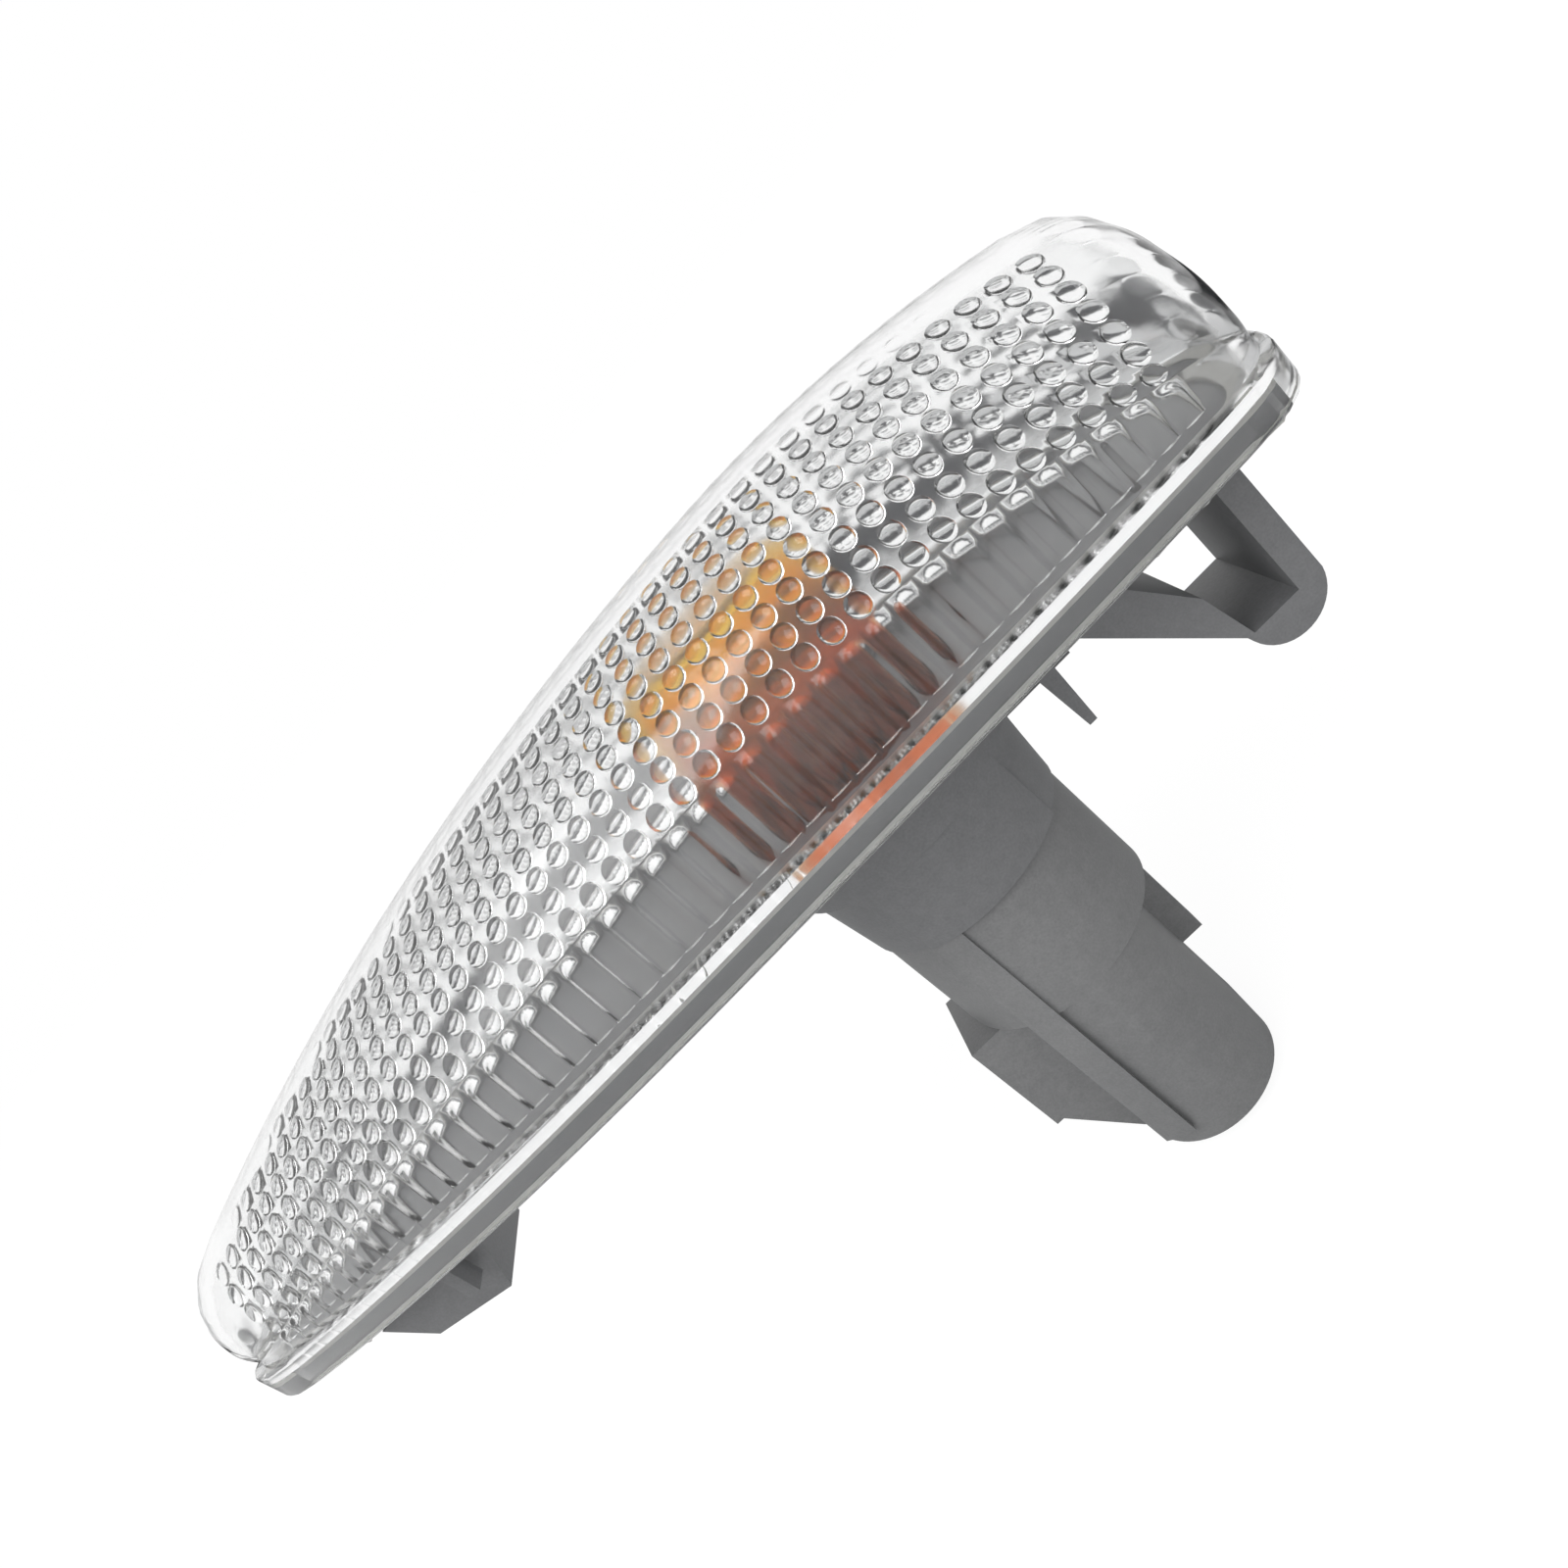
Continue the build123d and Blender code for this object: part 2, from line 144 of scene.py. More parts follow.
def feed(pen, shader, **wires):
    """Links what changes over the surface to the shader's sockets."""
    for socket, wire in wires.items():
        pen.tree.links.new(wire.socket, shader.inputs[socket.replace("_", " ")])


def speckle(pen, size, detail=2.0, stretch=(1, 1, 1)):
    """Noise over the piece's own coordinates, with grains of about this size."""
    place = pen.node("ShaderNodeTexCoord", out="Object")
    spread = tuple(share / size for share in stretch)
    place = pen.node("ShaderNodeMapping", {}, {"Vector": place, "Scale": spread})
    grains = {"Vector": place, "Scale": 1.0, "Detail": detail}
    return pen.node("ShaderNodeTexNoise", {}, grains, "Fac")


def moulded_plastic(name, dark, pale, roughness):
    """Grey plastic from a spark-eroded mould: fine grain, and faint clouds where it flowed."""
    material, pen, shader = finish(name, IOR=1.5)
    cloud = speckle(pen, 14 * mm, 3.0, (0.4, 1, 1))
    mottle = speckle(pen, 1.1 * mm, 3.0)
    grain = speckle(pen, 0.22 * mm, 1.0)
    tone = (cloud * 0.6 + mottle * 0.5 + grain * 0.7 - 0.4).clamp()
    feed(pen, shader, Base_Color=tone.mix((*dark, 1), (*pale, 1)))
    feed(pen, shader, Roughness=roughness + (cloud - 0.5) * 0.12 + (mottle - 0.5) * 0.10)
    bump = {"Height": grain * 0.6 + mottle * 0.4, "Strength": 0.35, "Distance": 0.04 * mm}
    feed(pen, shader, Normal=pen.node("ShaderNodeBump", {}, bump))
    return material


def place_mesh(name, mesh, material, slot, *nodes, crease=32):
    """Puts a finished mesh in the scene as a piece that stands for these CAD nodes."""
    mesh.materials.clear()
    mesh.materials.append(material)
    mesh.polygons.foreach_set("use_smooth", [True] * len(mesh.polygons))
    mesh.set_sharp_from_angle(angle=math.radians(crease))
    piece = bpy.data.objects.new(name, mesh)
    bpy.context.scene.collection.objects.link(piece)
    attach(piece, "root")
    if nodes:
        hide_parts(*nodes)


def mesh_of(shape, name):
    """The finished shape as a mesh."""
    mesh = bpy.data.meshes.new(name)
    shape.to_mesh(mesh)
    shape.free()
    return mesh


def evaluated_mesh(piece):
    """The piece's mesh with its modifiers applied. The piece itself is removed."""
    bpy.context.view_layer.update()
    evaluated = piece.evaluated_get(bpy.context.evaluated_depsgraph_get())
    mesh = bpy.data.meshes.new_from_object(evaluated)
    bpy.data.objects.remove(piece)
    return mesh


mould_round = 0.25 * mm
weld = 0.001 * mm


def rounded_copy(node):
    """A copy of a CAD node's mesh with its sharp edges rounded, as a mould leaves them."""
    shell = bmesh.new()
    shell.from_mesh(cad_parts[node].data)
    bmesh.ops.remove_doubles(shell, verts=shell.verts, dist=weld)
    flat = math.radians(0.05)
    bmesh.ops.dissolve_limit(shell, angle_limit=flat, verts=shell.verts, edges=shell.edges)
    draft = bpy.data.objects.new(node + "_draft", mesh_of(shell, node))
    bpy.context.scene.collection.objects.link(draft)
    bevel = draft.modifiers.new("rounding", "BEVEL")
    bevel.width = mould_round
    bevel.segments = 2
    bevel.limit_method = "ANGLE"
    bevel.angle_limit = math.radians(40)
    bevel.miter_outer = "MITER_ARC"
    return evaluated_mesh(draft)


housing_dark = (0.132, 0.134, 0.139)
housing_pale = (0.214, 0.216, 0.221)
housing_grey = moulded_plastic("housing_plastic", housing_dark, housing_pale, 0.46)
housing_mesh = rounded_copy("housing")
place_mesh("housing_shell", housing_mesh, housing_grey, "grey_housing", "housing")

# Bulb holder: a turned grey plug with bayonet lugs that twists into the port, and a connector
# shroud with a latch below. Moulded in a slightly paler grey, with a rubber seal ring under its
# shoulder.
holder_dark = (0.144, 0.146, 0.149)
holder_pale = (0.238, 0.239, 0.241)
holder_grey = moulded_plastic("holder_plastic", holder_dark, holder_pale, 0.42)
holder_mesh = rounded_copy("bulb_holder")
place_mesh("bulb_holder_body", holder_mesh, holder_grey, "grey_holder", "bulb_holder")


def recoat(material, *nodes):
    """Gives its material to CAD pieces that keep their shape."""
    for node in nodes:
        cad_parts[node].data.materials.clear()
        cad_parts[node].data.materials.append(material)


seal_rubber, pen, shader = finish("seal_rubber", IOR=1.52)
bloom = speckle(pen, 0.8 * mm, 4.0)
feed(pen, shader, Base_Color=bloom.mix((0.012, 0.012, 0.013, 1), (0.045, 0.044, 0.043, 1)))
feed(pen, shader, Roughness=0.5 + bloom * 0.25)
recoat(seal_rubber, "holder_seal")

# Contacts: two stamped brass strips pressed into the holder. A leaf of each presses on the bulb's
# lead wire, and its blade stands in the connector shroud.
contact_brass, pen, shader = finish("contact_brass", Metallic=1.0)
rolling = speckle(pen, 0.25 * mm, 3.0, (1, 1, 0.06))
tarnish = speckle(pen, 3 * mm, 4.0)
dulled = (tarnish * 1.4 - 0.2).clamp()
feed(pen, shader, Base_Color=dulled.mix((0.72, 0.52, 0.24, 1), (0.50, 0.34, 0.15, 1)))
feed(pen, shader, Roughness=0.22 + rolling * 0.2 + tarnish * 0.1)
recoat(contact_brass, "contact_left", "contact_right")

# Bulb: a wedge-base glass lamp with no cap, pushed into the holder. The envelope is blown thin and
# drawn to a round tip, and its lead wires fold up along the flat pinch below.
tower_x = 15.7 * mm
bulb_radius = 4.9 * mm
bulb_top = 12.8 * mm
glass_wall = 0.55 * mm
shoulder = -1.7 * mm
shoulder_round = 2.4 * mm
inner_shoulder_round = 1.9 * mm
pinch_end = -13.5 * mm
pinch_thickness = 2.3 * mm
pinch_width = 9.2 * mm
pinch_round = 0.5 * mm
pinch_gap = 0.02 * mm


def lathe(profile, steps=48):
    """A closed shell turned about the bulb port's axis from (radius, height) points."""
    turned = bmesh.new()
    spine = [turned.verts.new((radius, 0, height)) for radius, height in profile]
    edges = [turned.edges.new(pair) for pair in zip(spine, spine[1:])]
    around = {"cent": (0, 0, 0), "axis": (0, 0, 1), "angle": 2 * math.pi, "steps": steps}
    bmesh.ops.spin(turned, geom=spine + edges, use_merge=True, **around)
    bmesh.ops.remove_doubles(turned, verts=turned.verts, dist=weld)
    bmesh.ops.recalc_face_normals(turned, faces=turned.faces)
    bmesh.ops.translate(turned, verts=turned.verts, vec=(tower_x, 0, 0))
    return turned


def arc(radius, middle, start, end, steps):
    """Points of an arc in the (radius, height) plane, from one angle to another in degrees."""
    out, up = middle
    turns = [math.radians(start + (end - start) * step / steps) for step in range(steps + 1)]
    return [(out + radius * math.cos(turn), up + radius * math.sin(turn)) for turn in turns]


tip_centre = (0, bulb_top - bulb_radius)
inner_radius = bulb_radius - glass_wall
inner_shoulder = shoulder + glass_wall
outside = arc(bulb_radius, tip_centre, 90, 0, 12)
corner = (bulb_radius - shoulder_round, shoulder + shoulder_round)
outside += arc(shoulder_round, corner, 0, -90, 6)
inside = arc(inner_radius, tip_centre, 90, 0, 12)
corner = (inner_radius - inner_shoulder_round, inner_shoulder + inner_shoulder_round)
inside += arc(inner_shoulder_round, corner, 0, -90, 6)
envelope = lathe([*outside, (0, shoulder)])
hollow = lathe([*inside, (0, inner_shoulder)])
bmesh.ops.reverse_faces(hollow, faces=hollow.faces)
envelope.from_mesh(mesh_of(hollow, "hollow"))
pinch_size = Matrix.Diagonal((pinch_thickness, pinch_width, shoulder - pinch_end, 1))
pinch_place = Matrix.Translation((tower_x, 0, (shoulder + pinch_end) / 2 - pinch_gap))
pinch = bmesh.ops.create_cube(envelope, size=1, matrix=pinch_place @ pinch_size)["verts"]
pinch_edges = list(dict.fromkeys(edge for vert in pinch for edge in vert.link_edges))
rounded = {"offset": pinch_round, "segments": 3, "affect": "EDGES", "profile": 0.5}
bmesh.ops.bevel(envelope, geom=pinch_edges, **rounded)
bulb_mesh = mesh_of(envelope, "bulb_envelope")

bulb_clear, pen, shader = finish("bulb_clear_glass", IOR=1.47, Transmission_Weight=1.0)
haze = speckle(pen, 3 * mm, 3.0)
feed(pen, shader, Base_Color=haze.mix((1.0, 1.0, 1.0, 1), (0.96, 0.975, 0.97, 1)))
feed(pen, shader, Roughness=(haze * 0.05).clamp())
place_mesh("bulb_envelope", bulb_mesh, bulb_clear, "bulb_glass", "bulb_glass")

lead_wire, pen, shader = finish("lead_wire_metal", Metallic=1.0)
drawn = speckle(pen, 0.2 * mm, 3.0, (1, 1, 0.1))
feed(pen, shader, Base_Color=drawn.mix((0.50, 0.47, 0.43, 1), (0.66, 0.62, 0.57, 1)))
feed(pen, shader, Roughness=0.25 + drawn * 0.25)
recoat(lead_wire, "lead_wire_left", "lead_wire_right")

# Filament: a fine tungsten coil between the two lead wires. Geometry Nodes wind it as a helix and
# give it the wire's round section.
filament_low, filament_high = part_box("bulb_filament")
coil_gap = 0.1 * mm


def modifier_tree(name, sizes):
    """An empty Geometry Nodes tree with these named inputs, its pen and its input wires."""
    tree = bpy.data.node_groups.new(name, "GeometryNodeTree")
    kinds = {int: "NodeSocketInt", float: "NodeSocketFloat"}
    tree.interface.new_socket("Geometry", in_out="INPUT", socket_type="NodeSocketGeometry")
    for size, value in sizes.items():
        tree.interface.new_socket(size, in_out="INPUT", socket_type=kinds[type(value)])
    tree.interface.new_socket("Geometry", in_out="OUTPUT", socket_type="NodeSocketGeometry")
    pen = Wire(tree)
    return pen, *pen.node("NodeGroupInput", out=("Geometry", *sizes))


def close_tree(pen, shape, material):
    """Ends a tree in real geometry with its material."""
    shape = pen.node("GeometryNodeRealizeInstances", {}, {"Geometry": shape})
    shape = pen.node("GeometryNodeSetMaterial", {}, {"Geometry": shape, "Material": material})
    pen.node("NodeGroupOutput", {}, {"Geometry": shape})


def grown(pen, sizes, start):
    """Runs a tree on a starting mesh with its named inputs set, and returns the plain mesh."""
    draft = bpy.data.objects.new("draft", start)
    bpy.context.scene.collection.objects.link(draft)
    growth = draft.modifiers.new("growth", "NODES")
    growth.node_group = pen.tree
    for item in pen.tree.interface.items_tree:
        if item.in_out == "INPUT" and item.name in sizes:
            growth[item.identifier] = sizes[item.name]
    return evaluated_mesh(draft)


tungsten, pen, shader = finish("filament_tungsten", Metallic=1.0)
grey = speckle(pen, 0.3 * mm, 2.0)
feed(pen, shader, Base_Color=grey.mix((0.20, 0.19, 0.18, 1), (0.34, 0.33, 0.31, 1)))
feed(pen, shader, Roughness=0.35 + grey * 0.2)

coil_sizes = {
    "Turns": 22.0,
    "Coil radius": 0.24 * mm,
    "Coil length": filament_high.y - filament_low.y - 2 * coil_gap,
    "Wire radius": 0.06 * mm,
}
pen, _, turns, coil_radius, coil_length, wire_radius = modifier_tree("filament_coil", coil_sizes)
helix = {
    "Resolution": 18,
    "Rotations": turns,
    "Start Radius": coil_radius,
    "End Radius": coil_radius,
    "Height": coil_length,
}
helix = pen.node("GeometryNodeCurveSpiral", {}, helix)
section = {"Resolution": 6, "Radius": wire_radius}
section = pen.node("GeometryNodeCurvePrimitiveCircle", {}, section)
wound = {"Curve": helix, "Profile Curve": section, "Fill Caps": True}
close_tree(pen, pen.node("GeometryNodeCurveToMesh", {}, wound), tungsten)
filament_mesh = grown(pen, coil_sizes, bpy.data.meshes.new("coil_start"))
filament_height = (filament_low.z + filament_high.z) / 2
coil_start = Matrix.Translation((tower_x, filament_low.y + coil_gap, filament_height))
filament_mesh.transform(coil_start @ Matrix.Rotation(math.radians(-90), 4, "X"))
place_mesh("bulb_filament_coil", filament_mesh, tungsten, "wire", "bulb_filament")

# Amber cap: a thin translucent cup over the bulb that colours its light. Moulded in orange plastic
# with a round top edge, it stands on the bowl's floor round the port's collar.
cap_foot = -4.6 * mm
cap_top = 16.2 * mm
cap_radius = 10.4 * mm
cap_wall = 1.1 * mm
cap_round = 3.6 * mm
cap_crown = 0.35 * mm
round_centre = (cap_radius - cap_round, cap_top - cap_crown - cap_round)
outside = [(0, cap_top), (cap_radius - cap_round, cap_top - cap_crown)]
outside += arc(cap_round, round_centre, 90, 0, 8)[1:]
foot = [(cap_radius, cap_foot), (cap_radius - cap_wall, cap_foot)]
inside = [*arc(cap_round - cap_wall, round_centre, 0, 90, 6), (0, cap_top - cap_wall)]
cap_mesh = mesh_of(lathe([*outside, *foot, *inside], 72), "amber_cup")

# The amber is yellow at the top and darkens to red-orange towards the foot: painted light at the top and
# painted shade at the foot
painted_shade_below = 13 * mm
painted_shade_fade = 6 * mm
amber, pen, shader = finish("amber_plastic", IOR=1.49, Transmission_Weight=0.94)
streak = speckle(pen, 6 * mm, 3.0, (1, 1, 0.4))
fleck = speckle(pen, 0.5 * mm, 2.0)
_, _, height = pen.node("ShaderNodeTexCoord", out="Object").split()
depth = ((painted_shade_below - height) / painted_shade_fade + (streak - 0.5) * 0.5).clamp()
feed(pen, shader, Base_Color=depth.mix((1.0, 0.60, 0.02, 1), (0.80, 0.24, 0.05, 1)))
feed(pen, shader, Roughness=0.10 + fleck * 0.12)
place_mesh("amber_cup", cap_mesh, amber, "amber", "amber_cap")

# Lens: one clear moulding of acrylic. Its crowned face carries rows of small round pegs inside,
# its drafted walls carry upright flutes inside, and its flange hangs over the housing's rim as a
# skirt. Its sizes are in millimetres, and the tail is short enough to stay in the CAD's box.
tail_length = 64.43
nose_length = 60.0
half_width = 20.5
tail_half_width = 6.0
nose_half_width = 11.9
end_bow = 2.0
seat_radius = 520.0
flange_height = 3.4
ledge = 1.8
end_ledge = 0.7
lens_wall = 2.2
lean = math.tan(math.radians(12))
crown_x = 22.0
crown_height = 18.2
crown_tail_radius = 286.0
crown_nose_radius = 116.0
edge_x = 14.0
edge_height = 7.8
edge_tail_radius = 285.0
edge_nose_radius = 120.0

# Each column of pegs stands over one flute, and clear round ends lie past the last column
column_pitch = 2.5
columns = 43
end_columns = 3
row_pitch = 1.95
rows = 10
ridge_margin = 1.6
row_fade = 0.3
fluted_end = columns * column_pitch / 2
fluted_middle = -1.9
face_reach = rows * row_pitch
flute_top = column_pitch / 2
flute_top_share = 0.6
least_wall_height = 0.2
end_reach = end_columns * column_pitch
end_turned = math.radians(89.4)
end_fullness = 0.68
end_wall_share = 0.75
edge_wall_share = 0.5
tail_taper = 0.44
nose_taper = 0.48


def side_radius(length, end_half_width):
    """The radius of the plan's side, which narrows from the middle to an end."""
    narrowing = half_width - end_half_width
    return ((length - end_bow) ** 2 + narrowing**2) / (2 * narrowing)


def pick(nose, at_tail, at_nose):
    """The tail's value where nose is 0, and the nose's where it is 1."""
    return at_tail + (at_nose - at_tail) * nose


def drop(distance, radius):
    """How far an arc falls away at a distance from its tangent point."""
    return radius - (radius * radius - distance * distance) ** 0.5


def two_arcs(x, peak_x, peak, tail_radius, nose_radius):
    """A line along x of two arcs that meet at its peak."""
    beyond = x.math("GREATER_THAN", peak_x)
    return peak - drop(x - peak_x, pick(beyond, tail_radius, nose_radius))


def lens_section(x, wall):
    """The cross-section at x, moved inwards by the wall."""
    seat = two_arcs(x, 0, 0, seat_radius, seat_radius)
    tail_radius = side_radius(tail_length, tail_half_width)
    nose_radius = side_radius(nose_length, nose_half_width)
    flange = two_arcs(x, 0, half_width, tail_radius, nose_radius)
    edge = two_arcs(x, edge_x, edge_height, edge_tail_radius, edge_nose_radius)
    half = flange - ledge - (edge - seat) * lean - wall
    ridge = two_arcs(x, crown_x, crown_height, crown_tail_radius, crown_nose_radius) - wall
    return seat, half, edge - wall * edge_wall_share, ridge


def end_turn(along, wall):
    """Which end a point is at, how far its end has turned down, and its place along x."""
    nose = along.math("GREATER_THAN", 0)
    past = ((along.math("ABSOLUTE") - fluted_end) / end_reach).clamp() * end_turned
    tip = pick(nose, tail_length + fluted_middle, nose_length - fluted_middle)
    tip = tip - end_ledge - fluted_end - wall * end_wall_share
    tip = tip * past.math("SINE") ** end_fullness
    x = along.clamp(-fluted_end, fluted_end) + fluted_middle + tip * (nose * 2 - 1)
    return nose, past.math("COSINE"), x


def round_end(nose, level, x, y, z, seat):
    """Rounds the lens's end in plan and brings it down to the seat."""
    bow = pick(nose, end_bow / tail_half_width**2, end_bow / nose_half_width**2)
    y = y * (1 - (1 - pick(nose, tail_taper, nose_taper)) * (1 - level))
    x = x - (nose * 2 - 1) * bow * y * y * (1 - level)
    return x, y, seat + (z - seat) * level**end_fullness


def face_point(along, across, peg, cell, wall):
    """A point of the crowned face: across counts from its edge up to the ridge."""
    nose, level, x = end_turn(along, wall)
    seat, half, edge, ridge = lens_section(x, wall)
    rise = ridge - edge
    radius = (half * half + rise * rise) / (rise * 2)
    spread = rise.math("ARCTAN2", half) * 2
    arc_length = radius * spread
    regular = arc_length.math("MINIMUM", face_reach) - ridge_margin
    excess = (across - regular).math("MAXIMUM", 0)
    excess = excess * (arc_length - regular) / (face_reach - regular)
    across = across.math("MINIMUM", regular) + excess
    angle = spread - across / radius
    kept = ((regular - cell.y - row_pitch * row_fade) / row_pitch).clamp() * cell.fluted
    radius_here = radius - peg * kept
    y = radius_here * angle.math("SINE") * -1
    z = ridge - radius + radius_here * angle.math("COSINE")
    return round_end(nose, level, x, y, z, seat)


def wall_point(along, down, flute, cell, wall):
    """A point of the drafted wall: down counts from the face's edge to the flute's foot."""
    nose, level, x = end_turn(along, wall)
    seat, half, edge, _ = lens_section(x, wall)
    tall = (edge - seat).math("MAXIMUM", least_wall_height)
    top = (tall * flute_top_share).math("MINIMUM", flute_top)
    lower = (down - flute_top).math("MAXIMUM", 0) * (tall - top)
    down = down.math("MINIMUM", flute_top) * top / flute_top + lower
    y = (half + down * lean + flute * cell.fluted) * -1
    return round_end(nose, level, x, y, edge - down, seat)


class Cell:
    """The cell of the grid that a point came from: its row, and if it is in the fluted length."""

    def __init__(self, pen):
        kind = {"data_type": "FLOAT_VECTOR"}
        centre = pen.node("GeometryNodeInputNamedAttribute", kind, {"Name": "cell"})
        x, self.y, _ = centre.split()
        self.fluted = x.math("ABSOLUTE").math("LESS_THAN", fluted_end)


def skin_tree(name, point, material, sizes):
    """A tree that lays a tile in columns and rows, bends them to the lens, and mirrors them."""
    pen, tile, column_count, row_count, pitch_x, pitch_y, wall = modifier_tree(name, sizes)
    grid = {
        "Vertices X": column_count,
        "Vertices Y": row_count,
        "Size X": (column_count - 1) * pitch_x,
        "Size Y": (row_count - 1) * pitch_y,
    }
    points = pen.node("GeometryNodeMeshGrid", {}, grid, "Mesh")
    lift = pen.node("ShaderNodeCombineXYZ", {}, {"Y": row_count * pitch_y * 0.5})
    points = pen.node("GeometryNodeSetPosition", {}, {"Geometry": points, "Offset": lift})
    place = pen.node("GeometryNodeInputPosition")
    kind = {"data_type": "FLOAT_VECTOR", "domain": "POINT"}
    cells = {"Geometry": points, "Name": "cell", "Value": place}
    points = pen.node("GeometryNodeStoreNamedAttribute", kind, cells)
    sheet = pen.node("GeometryNodeInstanceOnPoints", {}, {"Points": points, "Instance": tile})
    sheet = pen.node("GeometryNodeRealizeInstances", {}, {"Geometry": sheet})
    along, across, relief = place.split()
    x, y, z = point(along, across, relief, Cell(pen), wall)
    bent = {"X": x * mm, "Y": y * mm, "Z": (z + flange_height) * mm}
    bent = pen.node("ShaderNodeCombineXYZ", {}, bent)
    near = pen.node("GeometryNodeSetPosition", {}, {"Geometry": sheet, "Position": bent})
    far = pen.node("GeometryNodeTransform", {}, {"Geometry": near, "Scale": (1, -1, 1)})
    far = pen.node("GeometryNodeFlipFaces", {}, {"Mesh": far})
    both = pen.node("GeometryNodeJoinGeometry", {}, {"Geometry": [near, far]})
    close_tree(pen, both, material)
    return pen


def join_loops(shell, first, second, closed=True):
    """Faces between two rows of points, and between their ends too if they are closed."""
    count = len(first)
    for step in range(count if closed else count - 1):
        after = (step + 1) % count
        shell.faces.new((first[step], first[after], second[after], second[step]))


def ringed_tile(rings, closed=False):
    """A tile from rows of points, with faces between each two, and its last row."""
    tile = bmesh.new()
    made = [[tile.verts.new(point) for point in ring] for ring in rings]
    for first, second in zip(made, made[1:]):
        join_loops(tile, first, second, closed)
    return tile, made[-1]


def on_rectangle(turn, half_x, half_y):
    """Where a rectangle's outline lies at this angle."""
    reach = max(abs(math.cos(turn)), abs(math.sin(turn)))
    return math.cos(turn) / reach * half_x, math.sin(turn) / reach * half_y


def peg_tile():
    """One cell of the face's inside: a low tapered peg on a flat square."""
    sides = 16
    peg_rings = ((0.98, 0.0), (0.84, 0.15), (0.68, 0.24))
    turns = [2 * math.pi * step / sides for step in range(sides)]
    rings = [[(*on_rectangle(turn, column_pitch / 2, row_pitch / 2), 0) for turn in turns]]
    for radius, height in peg_rings:
        rings.append([(radius * math.cos(turn), radius * math.sin(turn), height) for turn in turns])
    tile, top = ringed_tile(rings, closed=True)
    tile.faces.new(top)
    return mesh_of(tile, "peg_tile")


def flute_tile():
    """One cell of the wall's inside: an upright ball-nosed groove with a flat foot."""
    mouth = 1.10
    depth = 0.42
    axis = 0.001
    ball = (mouth**2 + depth**2) / (2 * depth)
    levels = (1.0, 0.66, 0.33)
    turns = [math.pi * step / 8 for step in range(9)]
    rings = []
    for radius in (mouth * share for share in (axis, 0.35, 0.7, 1.0)):
        height = math.sqrt(ball**2 - radius**2) - (ball - depth)
        ring = [(radius, flute_top + level, height) for level in levels]
        for turn in turns:
            ring.append((radius * math.cos(turn), flute_top - radius * math.sin(turn), height))
        ring += [(-radius, flute_top + level, height) for level in reversed(levels)]
        rings.append([(radius, flute_top + 1, 0), *ring, (-radius, flute_top + 1, 0)])
    border = [(flute_top, flute_top + level, 0) for level in levels]
    for turn in turns:
        x, y = on_rectangle(turn, flute_top, flute_top)
        border.append((x, flute_top - y, 0))
    border += [(-flute_top, flute_top + level, 0) for level in reversed(levels)]
    rings.append([border[0], *border, border[-1]])
    tile, _ = ringed_tile(rings)
    bmesh.ops.remove_doubles(tile, verts=tile.verts, dist=10 * axis)
    return mesh_of(tile, "flute_tile")


def plain_tile(ys):
    """A flat cell of the lens's smooth outside, with rows of points at these heights."""
    xs = (-column_pitch / 2, 0, column_pitch / 2)
    tile, _ = ringed_tile([[(x, y, 0) for x in xs] for y in ys])
    return mesh_of(tile, "plain_tile")


acrylic, pen, shader = finish("lens_acrylic", IOR=1.49, Transmission_Weight=1.0)
film = speckle(pen, 9 * mm, 3.0)
dust = speckle(pen, 0.35 * mm, 2.0)
feed(pen, shader, Base_Color=film.mix((1.0, 1.0, 1.0, 1), (0.985, 0.99, 0.99, 1)))
feed(pen, shader, Roughness=0.08 + film * 0.04 + (dust - 0.6).clamp() * 0.2)

face_tile = plain_tile((-row_pitch / 2, 0, row_pitch / 2))
wall_tile = plain_tile((0, flute_top, flute_top + 0.5, flute_top + 1))
sheets = []
for name, point, tile, row_count, pitch, wall in (
    ("pegged_face", face_point, peg_tile(), rows, row_pitch, lens_wall),
    ("fluted_wall", wall_point, flute_tile(), 1, 0.0, lens_wall),
    ("outer_face", face_point, face_tile, rows, row_pitch, 0.0),
    ("outer_wall", wall_point, wall_tile, 1, 0.0, 0.0),
):
    sizes = {
        "Columns": columns + 2 * end_columns,
        "Rows": row_count,
        "Column pitch": column_pitch,
        "Row pitch": pitch,
        "Wall": wall,
    }
    sheets.append(grown(skin_tree(name, point, acrylic, sizes), sizes, tile))


def boundary_loop(verts):
    """The open edge of a skin, as points in order."""
    rim = [vert for vert in verts if any(edge.is_boundary for edge in vert.link_edges)]
    loop = [rim[0]]
    seen = {rim[0]}
    for _ in rim:
        open_edges = [edge for edge in loop[-1].link_edges if edge.is_boundary]
        near = [edge.other_vert(loop[-1]) for edge in open_edges]
        fresh = [vert for vert in near if vert not in seen]
        if not fresh:
            break
        loop.append(fresh[0])
        seen.add(fresh[0])
    return loop


lens_shell = bmesh.new()
loops = []
for pair in (sheets[:2], sheets[2:]):
    before = set(lens_shell.verts)
    for mesh in pair:
        lens_shell.from_mesh(mesh)
    fresh = [vert for vert in lens_shell.verts if vert not in before]
    bmesh.ops.remove_doubles(lens_shell, verts=fresh, dist=4 * weld)
    fresh = [vert for vert in lens_shell.verts if vert not in before]
    loops.append(boundary_loop(fresh))
inner_loop, outer_loop = loops

# The flange is drawn out of the outer skin's open edge, and its rebate meets the inner skin's
skirt_width = 1.5
rebate_roof = 1.4
rounding = 0.3
least_chord = 1.5
flange_profile = [
    (ledge - rounding, 0),
    (ledge - 0.3 * rounding, -0.3 * rounding),
    (ledge, -rounding),
    (ledge, 0.5 * rounding - flange_height),
    (ledge - 0.5 * rounding, -flange_height),
    (ledge - skirt_width, -flange_height),
    (ledge - skirt_width, -rebate_roof),
]


